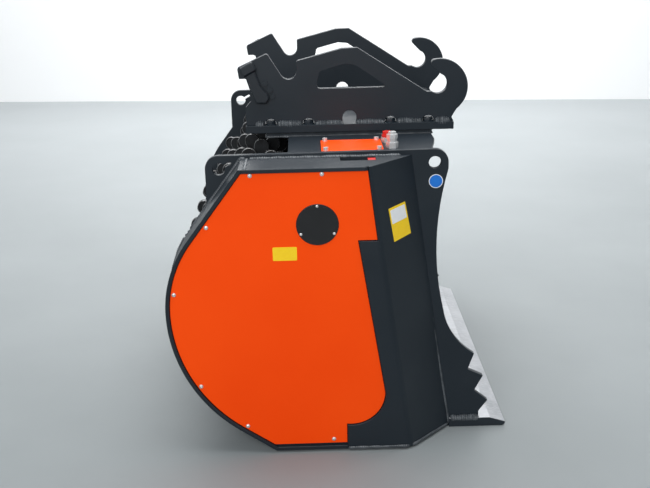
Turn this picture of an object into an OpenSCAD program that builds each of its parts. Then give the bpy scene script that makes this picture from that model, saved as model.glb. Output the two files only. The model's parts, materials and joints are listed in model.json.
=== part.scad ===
// Screening bucket for an excavator, about 1.1 m long and 1.3 m wide.
// The back wall is a row of five star-disc rotors. A hydraulic motor turns the top one by a
// chain, and further chains carry the turn down the row inside the case on the drive side.
// X runs to the mouth, Y from the drive side to the free side, Z up from the flat bottom.

/* [Overall] */
// Length from the back of the shell to the tip of the cutting edge
overall_len = 1110; // [1060:1:1200]
// Width over the two side plates
body_w = 1270; // [1200:1:1400]
// Depth of the drive case, out from its side plate
case_depth = 150; // [140:1:170]
// Depth of the bearing guard and its screws on the free side
guard_depth = 60; // [56:1:70]

/* [Shell] */
// Thickness of the side plates
side_t = 20; // [16:1:25]
// Height of the rearmost point of the back outline
axis_z = 497; // [480:1:520]
// Radius of the back outline below the rearmost point
lower_r = 500; // [470:1:530]
// Radius of the back outline above the rearmost point
upper_r = 393; // [370:1:420]
// Steepness of the straight slope above the upper arc, in degrees
slope_a = 53; // [50:1:56]
// Steepness of the straight slope below the lower arc, in degrees
keel_a = 34; // [30:1:38]
// Thickness of the floor shell
floor_t = 14; // [10:1:16]
// Gap between the lowest rotor and the bar at the rear edge of the floor
rear_bar_gap = 13; // [8:1:20]
// Width of the bar along the rear edge of the floor shell
rear_bar_t = 16; // [10:1:20]
// Height of the deepest point of the mouth edge
mouth_z = 430; // [400:1:460]
// How far the deepest point of the mouth edge lies behind the tip of the cutting edge
mouth_setback = 217; // [200:1:235]
// Hollow of the mouth edge above its deepest point
mouth_sag = 30; // [20:1:35]
// Hollow of the mouth edge below its deepest point
throat_sag = 21; // [10:1:25]
// How far the lowest tooth stands out from the mouth edge
teeth_reach = 156; // [140:1:165]
// Height of the teeth above the cutting edge
teeth_h = 235; // [220:1:250]

/* [Cutting edge] */
// Length of the cutting edge from front to back
lip_len = 192; // [180:1:205]
// Thickness of the cutting edge
lip_t = 32; // [26:1:36]
// Length of the ground slope at the front of the cutting edge
lip_slope_len = 52; // [40:1:60]
// Height of the blunt nose
lip_nose_h = 15; // [10:1:18]
// How far the cutting edge stands out beyond each side plate
lip_over = 9; // [0:1:12]

/* [Lifting eyes] */
// Radius of the lifting eyes
eye_r = 20; // [15:0.5:22]
// Radius of the ear round each eye
ear_r = 43; // [38:1:46]
// Distance of the rear eye from the back of the shell
rear_eye_in = 177; // [170:1:185]
// Height of the rear eye
rear_eye_z = 924; // [910:1:935]
// Distance of the front eye from the tip of the cutting edge
front_eye_in = 251; // [240:1:260]
// Height of the front eye
front_eye_z = 929; // [915:1:940]
// Width of the slot that runs out of the rear eye
keyhole_w = 10; // [6:1:14]
// Reach of that slot from the middle of the eye
keyhole_len = 45; // [36:1:55]

/* [Rotors] */
// Radius over the lobes of the star discs
rotor_r = 102; // [98:1:104]
// Gap between the lobes and the back outline
rotor_gap = 5; // [3:0.5:8]
// Height of the top rotor
top_rotor_z = 833; // [825:1:840]
// Radius of the rotor tube
tube_r = 42; // [36:1:45]
// Radius of the web in the middle of a star disc
web_r = 60; // [55:1:66]
// Radius of a lobe's round tip
lobe_r = 26; // [20:1:30]
// Thickness of a star disc
disc_t = 18; // [14:1:24]
// Distance between the star discs of one rotor
disc_pitch = 118; // [112:1:120]
// Gap between the tube and the side plates
tube_gap = 4; // [2:0.5:8]
// Radius of the rotor shafts
shaft_r = 25; // [22:0.5:28]
// Free radius between a shaft and its bearing
run_gap = 0.05; // [0.02:0.01:0.1]
// Radius of a bearing's flange
bearing_r = 62; // [60:1:64]
// Thickness of a bearing's flange
bearing_t = 14; // [12:1:18]
// Radius of a bearing's spigot in the side plate
spigot_r = 45; // [40:1:46]
// Gap round parts that are fitted into a hole
fit_gap = 0.05; // [0.02:0.01:0.2]

/* [Chain drive] */
// Pitch of the roller chain
chain_pitch = 25.4; // [25:0.1:26]
// Radius of the chain rollers
roller_r = 7.94; // [7:0.01:8.2]
// Radius of the link plates' ends
link_r = 10; // [9:0.1:11]
// Thickness of a link plate
link_t = 2; // [1.5:0.1:2.2]
// Width of a sprocket
sprocket_w = 15; // [13:0.1:16]
// Distance of the inner chain plane from the side plate
inner_plane = 55; // [50:1:58]
// Distance of the outer chain plane from the side plate
outer_plane = 95; // [90:1:100]
// Steepness of the line from the top rotor to the motor, in degrees
motor_a = 5; // [3:1:7]
// Radius of the motor's body
motor_r = 62; // [55:1:64]
// Length of the motor's body
motor_len = 150; // [130:1:170]
// Radius of the motor's flange
motor_flange_r = 78; // [74:1:80]
// Thickness of the motor's flange
motor_flange_t = 15; // [12:1:18]
// Radius of the motor's shaft
motor_shaft_r = 20; // [18:0.5:22]

/* [Drive case] */
// Thickness of the case's plates
case_t = 12; // [10:1:12]
// Height of the top of the case
case_high = 956; // [950:1:958]
// Height of the underside of the case
case_low = 8; // [6:1:12]
// Distance of the bevel's top corner on the side plate from the tip of the cutting edge
bevel_in = 325; // [315:1:335]
// How far the bevel runs back towards the outer face
bevel_run = 144; // [130:1:155]
// Lean of the bevel, in degrees from upright
bevel_a = 8; // [7:0.5:9]
// Radius of the bend between bevel and flange
bend_r = 30; // [20:1:36]
// Depth of the side cover below the rim
cover_recess = 6; // [6:0.5:10]
// Thickness of the side cover
cover_t = 6; // [5:0.5:8]
// Gap round the side cover
cover_gap = 2; // [1:0.5:3]
// Width of the frame behind the edge of the side cover
frame_w = 28; // [26:1:34]
// Thickness of that frame
frame_t = 8; // [6:1:10]
// Radius of the side cover's round lobe
lobe_corner_r = 112; // [100:1:120]
// Radius of the badge plate
badge_r = 65.5; // [60:0.5:70]
// Thickness of the badge plate
badge_t = 3; // [2:0.5:3]
// Length of the slot in the top of the case
slot_len = 110; // [90:1:120]
// Width of that slot
slot_w = 48; // [36:1:52]

/* [Top and hitch] */
// Height of the deck's upper face
deck_z = 960; // [955:1:962]
// Thickness of the deck
deck_t = 16; // [12:1:18]
// Thickness of the plates of the beam under the deck
beam_t = 10; // [8:1:12]
// Height of the beam under the deck
beam_h = 180; // [175:1:190]
// Thickness of the mounting plate on the deck
mount_t = 14; // [12:1:18]
// Thickness of the hitch base
base_t = 25; // [20:1:30]
// Length of the hitch base
base_len = 709; // [690:1:730]
// How far the hitch base stands out beyond each hitch plate
base_side = 17.5; // [10:0.5:25]
// Thickness of the hitch plates
hitch_t = 25; // [20:1:30]
// Height of the hitch plates
hitch_h = 254; // [245:1:265]
// Width over the two hitch plates
hitch_w = 645; // [630:1:655]
// Radius of the round end of the hook that holds the front pin
hook_r = 33.5; // [32:0.5:35]
// Radius of the round bottom of the notch that holds the rear pin
notch_r = 28; // [26:0.5:30]

/* [Hidden] */
$fn = 96;
// Which piece to draw, or all of them

// Length by which every cut runs past the faces that it opens
overrun = 10;

// Places that follow from the overall sizes
front_x = overall_len / 2;
rear_x = -overall_len / 2;
mid_y = (case_depth - guard_depth) / 2;
near_y = mid_y - body_w / 2;
far_y = mid_y + body_w / 2;
near_in = near_y + side_t;
far_in = far_y - side_t;
case_y = near_y - case_depth;
// Middle of the hitch, and how far it lies ahead of the back of the shell
hitch_setback = 605;
hitch_x = rear_x + hitch_setback;

// Centres of the two arcs of the back outline
low_c = [rear_x + lower_r, axis_z];
up_c = [rear_x + upper_r, axis_z];

function unit(v) = v / norm(v);
function along(a) = [cos(a), sin(a)];
function turned(v, a) = [v.x * cos(a) - v.y * sin(a), v.x * sin(a) + v.y * cos(a)];
// Point where the line from p touches a circle, further round against the clock as seen from p
function touch(p, c, r) = c + r * turned(unit(p - c), acos(r / norm(p - c)));

// Points where the arcs, set in by d, meet the straight slopes
function up_end(d) = up_c + (upper_r - d) * along(90 + slope_a);
function low_end(d) = low_c + (lower_r - d) * along(270 - keel_a);
// Points of the straight slopes, set in by d, at height z
function on_slope(z, d) = [up_end(d).x + (z - up_end(d).y) / tan(slope_a), z];
function on_keel(z, d) = [low_end(d).x + (low_end(d).y - z) / tan(keel_a), z];

// Points of an arc round c from angle a0 to a1
function round_points(c, r, a0, a1, steps) =
    [for (k = [0 : steps]) c + r * along(a0 + (a1 - a0) * k / steps)];
// The two arcs of the back outline, set in by d, down to where the lower slope leaves them
upper_steps = 18;
lower_steps = 28;
function back_curve(d) = concat(
    round_points(up_c, upper_r - d, 90 + slope_a, 180, upper_steps),
    [for (k = [1 : lower_steps])
        low_c + (lower_r - d) * along(180 + (90 - keel_a) * k / lower_steps)]);

// Points of an arc from p to q whose middle stands off the chord by sag, to its left
arc_steps = 12;
function arc_points(p, q, sag) =
    let (half = norm(q - p) / 2,
         r = (half * half + sag * sag) / (2 * sag),
         side = turned(unit(q - p), 90),
         c = (p + q) / 2 + side * (sag - r),
         span = asin(half / r))
    [for (k = [1 : arc_steps - 1]) c + r * turned(side, span * (1 - 2 * k / arc_steps))];

// Corner of an outline, rounded with radius r, between the points before and after it
corner_steps = 6;
function corner(before, at, after, r) =
    r == 0 ? [at] :
    let (a = unit(before - at),
         b = unit(after - at),
         half = acos(a * b) / 2,
         c = at + unit(a + b) * r / sin(half),
         from = at + a * r / tan(half) - c,
         spin = sign(cross(a, b)))
    [for (k = [0 : corner_steps]) c + turned(from, -spin * (180 - 2 * half) * k / corner_steps)];
// Outline from rows of x, z and corner radius
function rounded(rows) =
    let (n = len(rows))
    [for (i = [0 : n - 1])
        let (p = rows[(i + n - 1) % n], q = rows[i], s = rows[(i + 1) % n])
        each corner([p.x, p.y], [q.x, q.y], [s.x, s.y], q.z)];

// Draws an X-Z outline and gives it the depth from y0 to y1
module slab(y0, y1) {
    translate([0, y1, 0]) rotate([90, 0, 0]) linear_extrude(y1 - y0) children();
}

// Draws an X-Y outline and gives it the height from z0 to z1
module plate(z0, z1) {
    translate([0, 0, z0]) linear_extrude(z1 - z0) children();
}

// Round bar along Y at an X-Z place
module bar(at, r, y0, y1) {
    slab(y0, y1) translate(at) circle(r);
}

// Area inside the back outline set in by d, between two heights and up to x1
module back_area(d, z0, z1, x1) {
    polygon(concat(back_curve(d), [on_keel(z0, d), [x1, z0], [x1, z1], on_slope(z1, d)]));
}

// Hexagon head, flat side to flat side af, standing up from z 0
module hex_head(af, h) {
    cylinder(r = af / sqrt(3), h = h, $fn = 6);
}

// Stands a child that points up so that it points out of the drive side, or the free side
module face_near(at, y) {
    translate([at.x, y, at.y]) rotate([90, 0, 0]) children();
}
module face_far(at, y) {
    translate([at.x, y, at.y]) rotate([-90, 0, 0]) children();
}

// Rotor centres: each is one rotor pitch further round the back outline, set in by the rotor
rotor_in = rotor_r + rotor_gap;
rotor_links = 6;
rotor_pitch = rotor_links * chain_pitch;
// Point of a circle that lies the distance p from point q, further round against the clock
function next_on(c, r, q, p) =
    let (d = norm(q - c),
         a = (r * r - p * p + d * d) / (2 * d),
         u = unit(q - c))
    c + a * u + sqrt(r * r - a * a) * turned(u, 90);
rotor_1 = on_slope(top_rotor_z, rotor_in);
rotor_2 = rotor_1 - rotor_pitch * along(slope_a);
rotor_3 = next_on(up_c, upper_r - rotor_in, rotor_2, rotor_pitch);
rotor_4 = next_on(low_c, lower_r - rotor_in, rotor_3, rotor_pitch);
rotor_5 = next_on(low_c, lower_r - rotor_in, rotor_4, rotor_pitch);
rotors = [rotor_1, rotor_2, rotor_3, rotor_4, rotor_5];
// Angle below the horizontal at which the floor ends, clear of the lowest rotor by the bar's gap
bar_inner_r = lower_r - floor_t - rear_bar_t;
rotor_way_r = lower_r - rotor_in;
bar_reach = rotor_r + rear_bar_gap;
floor_end_a = 180 + line_a(low_c, rotor_5) + acos((rotor_way_r * rotor_way_r
    + bar_inner_r * bar_inner_r - bar_reach * bar_reach) / (2 * rotor_way_r * bar_inner_r));
motor_links = 12;
motor_at = rotor_1 + motor_links * chain_pitch * along(motor_a);

// Bolts of the bearings
bearing_bolts = 4;
bearing_bolt_r = 6;
bearing_bolt_af = 19;
bearing_bolt_head = 8;
bolt_gap = 0.2;
bearing_bolt_ring = (bearing_r + spigot_r) / 2;
shaft_end_gap = 6;
bearing_bolt_places = [for (c = rotors, k = [0 : bearing_bolts - 1])
    c + bearing_bolt_ring * along(45 + k * 360 / bearing_bolts)];

// Bolts of the motor's flange
motor_bolts = 4;
motor_spigot_r = 50;
motor_bolt_ring = (motor_flange_r + motor_spigot_r) / 2;
motor_bolt_places = [for (k = [0 : motor_bolts - 1])
    motor_at + motor_bolt_ring * along(45 + k * 360 / motor_bolts)];

// Teeth of the side plates, as shares of their reach and height above the cutting edge
teeth_shares = [[0.81, 0], [0.81, 0.09], [1, 0.26], [0.7, 0.42], [0.885, 0.65], [0.55, 0.76], [0.68, 1]];
mouth_x = front_x - mouth_setback;
teeth = [for (t = teeth_shares) [mouth_x + t.x * teeth_reach, lip_t + t.y * teeth_h]];
lip_back = front_x - lip_len;
rear_eye = [rear_x + rear_eye_in, rear_eye_z];
front_eye = [front_x - front_eye_in, front_eye_z];
ear_back = rear_eye.x - ear_r;
ear_front = front_eye.x + ear_r;
keyhole_a = 28;
ear_foot = [ear_back, up_end(0).y + (ear_back - up_end(0).x) * tan(slope_a)];

module side_area() {
    mouth = [mouth_x, mouth_z];
    top = [ear_front, front_eye.y - ear_r / 2];
    difference() {
        polygon(concat(
            back_curve(0),
            [on_keel(0, 0), [lip_back, 0], [lip_back, lip_t]],
            teeth,
            arc_points(teeth[len(teeth) - 1], mouth, throat_sag),
            [mouth],
            arc_points(mouth, top, mouth_sag),
            [top],
            round_points(front_eye, ear_r, 0, 90, arc_steps),
            round_points(rear_eye, ear_r, 90, 180, arc_steps),
            [ear_foot]));
        translate(rear_eye) circle(eye_r);
        translate(front_eye) circle(eye_r);
    }
}

// Slot with a round end that runs up and forward out of the rear eye
module keyhole() {
    translate(rear_eye) rotate(keyhole_a) {
        translate([0, -keyhole_w / 2]) square([keyhole_len - keyhole_w / 2, keyhole_w]);
        translate([keyhole_len - keyhole_w / 2, 0]) circle(keyhole_w / 2);
    }
}

module side_plate(y0, places) {
    slab(y0, y0 + side_t) difference() {
        side_area();
        keyhole();
        for (c = rotors) translate(c) circle(spigot_r + fit_gap);
        for (c = places) translate(c) circle(bearing_bolt_r + bolt_gap);
        children();
    }
}

module side_plate_drive() {
    color("#2b2c2e") side_plate(near_y, bearing_bolt_places) {
        union() {
            translate(motor_at) circle(motor_spigot_r + fit_gap);
            for (c = motor_bolt_places) translate(c) circle(bearing_bolt_r + bolt_gap);
        }
    }
}

module side_plate_free() {
    color("#2b2c2e") side_plate(far_in, bearing_bolt_places);
}

// Floor from the cutting edge round to the end behind the lowest rotor
module floor_shell() {
    color("#303133") slab(near_in, far_in) intersection() {
        difference() {
            back_area(0, 0, axis_z, lip_back);
            back_area(floor_t, floor_t, axis_z + overrun, front_x);
        }
        translate(low_c) polygon([[0, 0], 2 * lower_r * along(180 + floor_end_a),
            2 * lower_r * along(270), 2 * lower_r * along(315), [front_x + lower_r, 0]]);
    }
}

// Bar of the shell's own curve along the rear edge of the floor
rear_bar_w = 40;
module rear_bar() {
    span = rear_bar_w / lower_r * 180 / PI;
    color("#303133") slab(near_in, far_in) intersection() {
        difference() {
            back_area(floor_t, floor_t, axis_z, 0);
            back_area(floor_t + rear_bar_t, floor_t, axis_z + overrun, overrun);
        }
        translate(low_c) polygon([[0, 0], 2 * lower_r * along(180 + floor_end_a),
            2 * lower_r * along(180 + floor_end_a + span)]);
    }
}

// Ground wear edge across the front of the floor
lip_nose_back = 10;
lip_nose_low = 7;
module cutting_edge() {
    color("#3a3b3d") slab(near_y - lip_over, far_y + lip_over) polygon([
        [lip_back, 0], [front_x - lip_nose_back, 0], [front_x, lip_nose_low], [front_x, lip_nose_h],
        [front_x - lip_slope_len, lip_t], [lip_back, lip_t]]);
}

// Deck across the top, its front corners cut back at the side plates
deck_len_back = 210;
deck_len_front = 278;
deck_back = hitch_x - deck_len_back;
deck_front = hitch_x + deck_len_front;
deck_cut_x = 38;
deck_cut_y = 190;
module top_deck() {
    color("#2f3032") plate(deck_z - deck_t, deck_z) difference() {
        polygon([[deck_back, near_in], [deck_front - deck_cut_x, near_in],
            [deck_front, near_in + deck_cut_y], [deck_front, far_in - deck_cut_y],
            [deck_front - deck_cut_x, far_in], [deck_back, far_in]]);
        for (p = ports) translate(p) circle(pipe_r + bolt_gap);
    }
}

// Folded beam that closes a box under the deck and carries the motor's end of the shell
beam_low = deck_z - deck_t - beam_h;
beam_len_back = 150;
beam_len_front = 140;
beam_foot_back = hitch_x - beam_len_back;
beam_foot_front = hitch_x + beam_len_front;
beam_lean = 50;
beam_lean_front = 95;
module beam_area(d) {
    lean = beam_lean / beam_h;
    lean_front = beam_lean_front / beam_h;
    top = deck_z - deck_t;
    side = d * sqrt(1 + lean * lean);
    side_front = d * sqrt(1 + lean_front * lean_front);
    polygon([
        [beam_foot_back - beam_lean + side, top], [beam_foot_back - lean * d + side, beam_low + d],
        [beam_foot_front + lean_front * d - side_front, beam_low + d],
        [beam_foot_front + beam_lean_front - side_front, top]]);
}
module beam_channel() {
    color("#2f3032") slab(near_in, far_in) difference() {
        beam_area(0);
        beam_area(beam_t);
    }
}

// Case on the drive side
// Front of the case in a plane square to the bevel's leaning edges
bevel_at = [front_x - bevel_in, case_high];
bevel_u = bevel_at.x * cos(bevel_a) + bevel_at.y * sin(bevel_a);
bevel_w = bevel_run * cos(bevel_a);
bevel_turn = atan2(case_depth, bevel_w);
module leaning(z0, z1) {
    rotate([0, -bevel_a, 0]) translate([0, 0, z0 - case_high]) linear_extrude(z1 - z0 + 2 * case_high)
        children();
}
// Plan of the bevel and flange as one bent plate
module bent_plan() {
    fold = bevel_u - bevel_w;
    inner = fold - case_t * tan(bevel_turn / 2);
    polygon(rounded([
        [bevel_u, near_y, 0], [fold, case_y, bend_r], [fold - case_high, case_y, 0],
        [fold - case_high, case_y + case_t, 0], [inner, case_y + case_t, bend_r - case_t],
        [bevel_u - case_t / sin(bevel_turn), near_y, 0]]));
}
// Height of the flange's top edge and the places of its outline
flange_high = 722;
flange_run = 177;
flange_foot_run = 219;
cover_top_run = 148;
cover_low_run = 117;
lobe_run = 206;
lobe_z = 205;
flange_back = bevel_at.x - flange_run;
flange_foot_back = bevel_at.x - flange_foot_run;
cover_side_top = bevel_at.x - cover_top_run;
cover_side_low = bevel_at.x - cover_low_run;
lobe_at = [bevel_at.x - lobe_run, lobe_z];
// Area forward of the side cover's edge, grown by d
module flange_area(d) {
    far = front_x;
    middle = (flange_high + lobe_at.y) / 2;
    polygon([[cover_side_top - d, case_high + overrun], [cover_side_low - d, flange_high],
        [cover_side_low - d, middle], [far, middle], [far, case_high + overrun]]);
    polygon([[flange_back - d, flange_high + d], [lobe_at.x + lobe_corner_r - d, lobe_at.y],
        [far, lobe_at.y], [far, flange_high + d]]);
    difference() {
        translate([flange_foot_back - d, 0]) square([far, lobe_at.y]);
        translate(lobe_at) circle(lobe_corner_r - d);
    }
}
module front_solid() {
    intersection() {
        leaning(0, case_high) bent_plan();
        slab(case_y, near_y) intersection() {
            flange_area(0);
            translate([0, case_low]) square([front_x, case_high - case_low]);
        }
    }
}
module case_front() {
    color("#2b2c2e") front_solid();
}

// Room inside the case's wall
module case_room() {
    slab(case_y, near_y) back_area(case_t, case_low, case_high, front_x);
}
// Flat plate of the case, trimmed along the middle of the bent front plate
module case_plate(z0, z1) {
    fold = [bevel_u - bevel_w, case_y];
    bend_in = bend_r * tan(bevel_turn / 2);
    difference() {
        intersection() {
            case_room();
            plate(z0, z1) translate([rear_x, case_y]) square([overall_len, case_depth]);
            leaning(0, case_high) polygon([
                fold - [overall_len, 0], fold - [bend_in, 0], fold + [-bend_in, case_t] / 3,
                fold + bend_r / 2 * along(bevel_turn) + case_t / 2 * along(bevel_turn + 90),
                [bevel_u - case_t / 2 / sin(bevel_turn), near_y],
                [bevel_u - bevel_w - overall_len, near_y]]);
        }
        front_solid();
    }
}

// Places of the slot in the top plate
slot_run = 226;
slot_in = 10;
slot_at = [bevel_at.x - slot_run, near_y - slot_in - slot_w];
module slot_plan() {
    translate(slot_at) square([slot_len, slot_w]);
}
module case_top() {
    color("#2b2c2e") difference() {
        case_plate(case_high - case_t, case_high);
        plate(case_high - case_t - overrun, case_high + overrun) slot_plan();
    }
}
module case_bottom() {
    color("#2b2c2e") case_plate(case_low, case_low + case_t);
}
module case_wall() {
    color("#2b2c2e") slab(case_y, near_y) intersection() {
        difference() {
            back_area(0, case_low, case_high, front_x);
            back_area(case_t, 0, case_high + overrun, front_x + overrun);
        }
        translate([rear_x - overrun, case_low]) square([overall_len + overrun, case_high - case_low]);
    }
}

// Red tongue that stands in the front end of the slot
tongue_len = 24;
tongue_w = 30;
tongue_t = 6;
module slot_tongue() {
    color("#b3261e") translate([slot_at.x + slot_len - tongue_len, near_y - slot_in - tongue_w - tongue_t,
        case_high - case_t]) cube([tongue_len, tongue_w, case_t - tongue_t / 2]);
}

// Side cover, its frame and its screws
cover_foot = 20;
cover_low = case_low + cover_foot;
cover_high = case_high - case_t;
cover_screw_in = 24;
screw_r = 4;
screw_head_r = 7;
screw_head_h = 4.4;
screw_len = 14;
upper_screw_a = 170;
lower_screw_a = 212;
slope_screw_z = 777;
keel_screw_z = 98;
top_screw_z = cover_high - screw_r - screw_head_r / 2;
top_screw_in = 40;
top_screw_run = 138;
foot_screw_run = 46;
foot_screw_x = flange_foot_back - foot_screw_run;
cover_screws_at = concat(
    [on_slope(top_screw_z, top_screw_in), [cover_side_top - top_screw_run, top_screw_z]],
    [on_slope(slope_screw_z, cover_screw_in),
     up_c + (upper_r - cover_screw_in) * along(upper_screw_a),
     low_c + (lower_r - cover_screw_in) * along(lower_screw_a),
     on_keel(keel_screw_z, cover_screw_in),
     [foot_screw_x, cover_low + 2 * screw_head_r]]);
badge_run = 155;
badge_down = 178;
badge_at = [cover_side_top - badge_run, case_high - badge_down];
badge_screw_ring = 59;
badge_screw_r = 2;
badge_screws_at = [for (a = [90 : 120 : 330]) badge_at + badge_screw_ring * along(a)];

module cover_area(d) {
    edge = case_t + cover_gap + d;
    difference() {
        intersection() {
            back_area(edge, 0, case_high, front_x);
            translate([rear_x, cover_low + d]) square([overall_len, cover_high - cover_low - 2 * d]);
        }
        flange_area(cover_gap + d);
    }
}
module side_cover() {
    color("#f2560e") slab(case_y + cover_recess, case_y + cover_recess + cover_t) difference() {
        cover_area(0);
        for (c = cover_screws_at) translate(c) circle(screw_r + bolt_gap);
        for (c = badge_screws_at) translate(c) circle(badge_screw_r + bolt_gap);
    }
}
frame_under = 12;
module cover_frame() {
    y0 = case_y + cover_recess + cover_t;
    color("#242527") difference() {
        slab(y0, y0 + frame_t) difference() {
            intersection() {
                back_area(case_t, case_low + case_t, case_high, front_x);
                translate([rear_x, case_low + case_t])
                    square([overall_len, case_high - case_low - 2 * case_t]);
            }
            flange_area(-frame_under);
            cover_area(frame_w);
            for (c = cover_screws_at) translate(c) circle(screw_r + bolt_gap);
        }
        front_solid();
    }
}

// Button head screw standing out of a face, its tip the given length behind it
head_top_share = 0.7;
module button_screw(r, head_r, head_h, length) {
    cylinder(r = head_r, h = head_h / 2);
    translate([0, 0, head_h / 2]) cylinder(r1 = head_r, r2 = head_r * head_top_share, h = head_h / 2);
    translate([0, 0, -length]) cylinder(r = r, h = length);
}
module cover_screws() {
    color("#9a9da1") for (c = cover_screws_at) face_near(c, case_y + cover_recess)
        button_screw(screw_r, screw_head_r, screw_head_h, screw_len);
}
module badge_plate() {
    y = case_y + cover_recess;
    color("#17181a") slab(y - badge_t, y) difference() {
        translate(badge_at) circle(badge_r);
        for (c = badge_screws_at) translate(c) circle(badge_screw_r + bolt_gap);
    }
}
badge_screw_head_h = 2.4;
badge_screw_head_r = 4.5;
module badge_screws() {
    color("#9a9da1") for (c = badge_screws_at) face_near(c, case_y + cover_recess - badge_t)
        button_screw(badge_screw_r, badge_screw_head_r, badge_screw_head_h, badge_t + cover_t);
}

// Flanged bearing with its flange standing up and its spigot below z 0
module bearing() {
    difference() {
        union() {
            cylinder(r = bearing_r, h = bearing_t);
            translate([0, 0, -side_t]) cylinder(r = spigot_r, h = side_t);
            cylinder(r = spigot_r - bearing_seal_in, h = bearing_t + bearing_seal_h);
        }
        translate([0, 0, -side_t - overrun])
            cylinder(r = shaft_r + run_gap, h = side_t + bearing_t + bearing_seal_h + 2 * overrun);
        for (k = [0 : bearing_bolts - 1]) rotate(45 + k * 360 / bearing_bolts)
            translate([bearing_bolt_ring, 0, -overrun])
                cylinder(r = bearing_bolt_r + bolt_gap, h = bearing_t + 2 * overrun);
    }
}
bearing_seal_in = 8;
bearing_seal_h = 5;
module bearings_drive() {
    color("#5c5f63") for (c = rotors) face_near(c, near_y) bearing();
}
module bearings_free() {
    color("#5c5f63") for (c = rotors) face_far(c, far_y) bearing();
}

// Hexagon bolt standing out of a face
module hex_bolt(r, af, head, length) {
    hex_head(af, head);
    translate([0, 0, -length]) cylinder(r = r, h = length);
}
module bearing_bolts_drive() {
    color("#a7aaad") for (c = bearing_bolt_places) face_near(c, near_y - bearing_t)
        hex_bolt(bearing_bolt_r, bearing_bolt_af, bearing_bolt_head, bearing_t + side_t);
}
module bearing_bolts_free() {
    color("#a7aaad") for (c = bearing_bolt_places) face_far(c, far_y + bearing_t)
        hex_bolt(bearing_bolt_r, bearing_bolt_af, bearing_bolt_head, bearing_t + side_t);
}

// Guard over the bearings of the free side
guard_r = 75;
guard_t = 8;
guard_screw_h = 6;
guard_boss_r = 11;
guard_boss_off = 58;
guard_wall_h = guard_depth - guard_screw_h - guard_t;
// Outline round the row of rotors at the distance r: arcs round the centres on the rear side and
// at both ends, mitred corners on the other side
last = len(rotors) - 1;
bend_step_a = 6;
function row_a(i) = line_a(rotors[i], rotors[i + 1]);
function bend_points(i, r, a0, a1) = round_points(rotors[i], r, a0, a1, max(2, round(abs(a1 - a0) / bend_step_a)));
module row_area(r) {
    polygon(concat(
        bend_points(0, r, row_a(0) + 90, row_a(0) + 270),
        [for (i = [1 : last - 1]) each bend_points(i, r, row_a(i - 1) - 90, row_a(i) - 90)],
        bend_points(last, r, row_a(last - 1) - 90, row_a(last - 1) + 90),
        [for (i = [last - 1 : -1 : 1]) let (half = (row_a(i) - row_a(i - 1)) / 2)
            rotors[i] + r / cos(half) * along(row_a(i) - half + 90)]));
}
guard_screws_at = [for (i = [0 : len(rotors) - 2], s = [-1, 1])
    (rotors[i] + rotors[i + 1]) / 2 + s * guard_boss_off * turned(unit(rotors[i + 1] - rotors[i]), 90)];
module guard_wall() {
    color("#2b2c2e") slab(far_y, far_y + guard_wall_h) difference() {
        union() {
            difference() {
                row_area(guard_r);
                row_area(guard_r - guard_t);
            }
            for (c = guard_screws_at) translate(c) circle(guard_boss_r);
        }
        for (c = guard_screws_at) translate(c) circle(screw_r + bolt_gap);
    }
}
module guard_cover() {
    color("#2b2c2e") slab(far_y + guard_wall_h, far_y + guard_wall_h + guard_t) difference() {
        row_area(guard_r);
        for (c = guard_screws_at) translate(c) circle(screw_r + bolt_gap);
    }
}
module guard_screws() {
    color("#9a9da1") for (c = guard_screws_at) face_far(c, far_y + guard_wall_h + guard_t)
        button_screw(screw_r, screw_head_r, guard_screw_h, guard_t + 2 * screw_len);
}

// Rotor: tube with shafts at both ends and star discs, each turned half a lobe from the last
lobes = 6;
disc_pairs = floor((body_w / 2 - side_t - tube_gap - disc_t / 2) / disc_pitch);
lobe_step = 360 / lobes;
lobe_ring = rotor_r - lobe_r;
module star_area() {
    circle(web_r);
    for (k = [0 : lobes - 1]) rotate(k * lobe_step) {
        translate([0, -lobe_r]) square([lobe_ring, 2 * lobe_r]);
        translate([lobe_ring, 0]) circle(lobe_r);
    }
}
drive_shaft_end = outer_plane + sprocket_w / 2 + shaft_end_gap;
free_shaft_end = bearing_t + bearing_seal_h + shaft_end_gap;
module rotor(i) {
    even = i % 2;
    discs = 2 * disc_pairs + 1 - even;
    at = rotors[i];
    bar(at, tube_r, near_in + tube_gap, far_in - tube_gap);
    bar(at, shaft_r, near_y - drive_shaft_end, far_y + free_shaft_end);
    for (k = [0 : discs - 1]) {
        y = mid_y + (k - (discs - 1) / 2) * disc_pitch;
        slab(y - disc_t / 2, y + disc_t / 2) translate(at) rotate(slope_a + k * lobe_step / 2)
            star_area();
    }
}

// Sprocket with as many gaps as rollers go round it, the first gap square to the angle a
sprocket_teeth = 2 * rotor_links;
sprocket_ring = chain_pitch / (2 * sin(180 / sprocket_teeth));
roller_play = 0.45;
tooth_h = 4;
sprocket_hub_r = 34;
module sprocket_area(bore_r, a) {
    difference() {
        circle(sprocket_ring + tooth_h);
        circle(bore_r);
        for (k = [0 : sprocket_teeth - 1]) translate(sprocket_ring * along(a + 90 + k * 360 / sprocket_teeth))
            circle(roller_r + roller_play);
    }
}
function line_a(p, q) = atan2(q.y - p.y, q.x - p.x);
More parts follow.
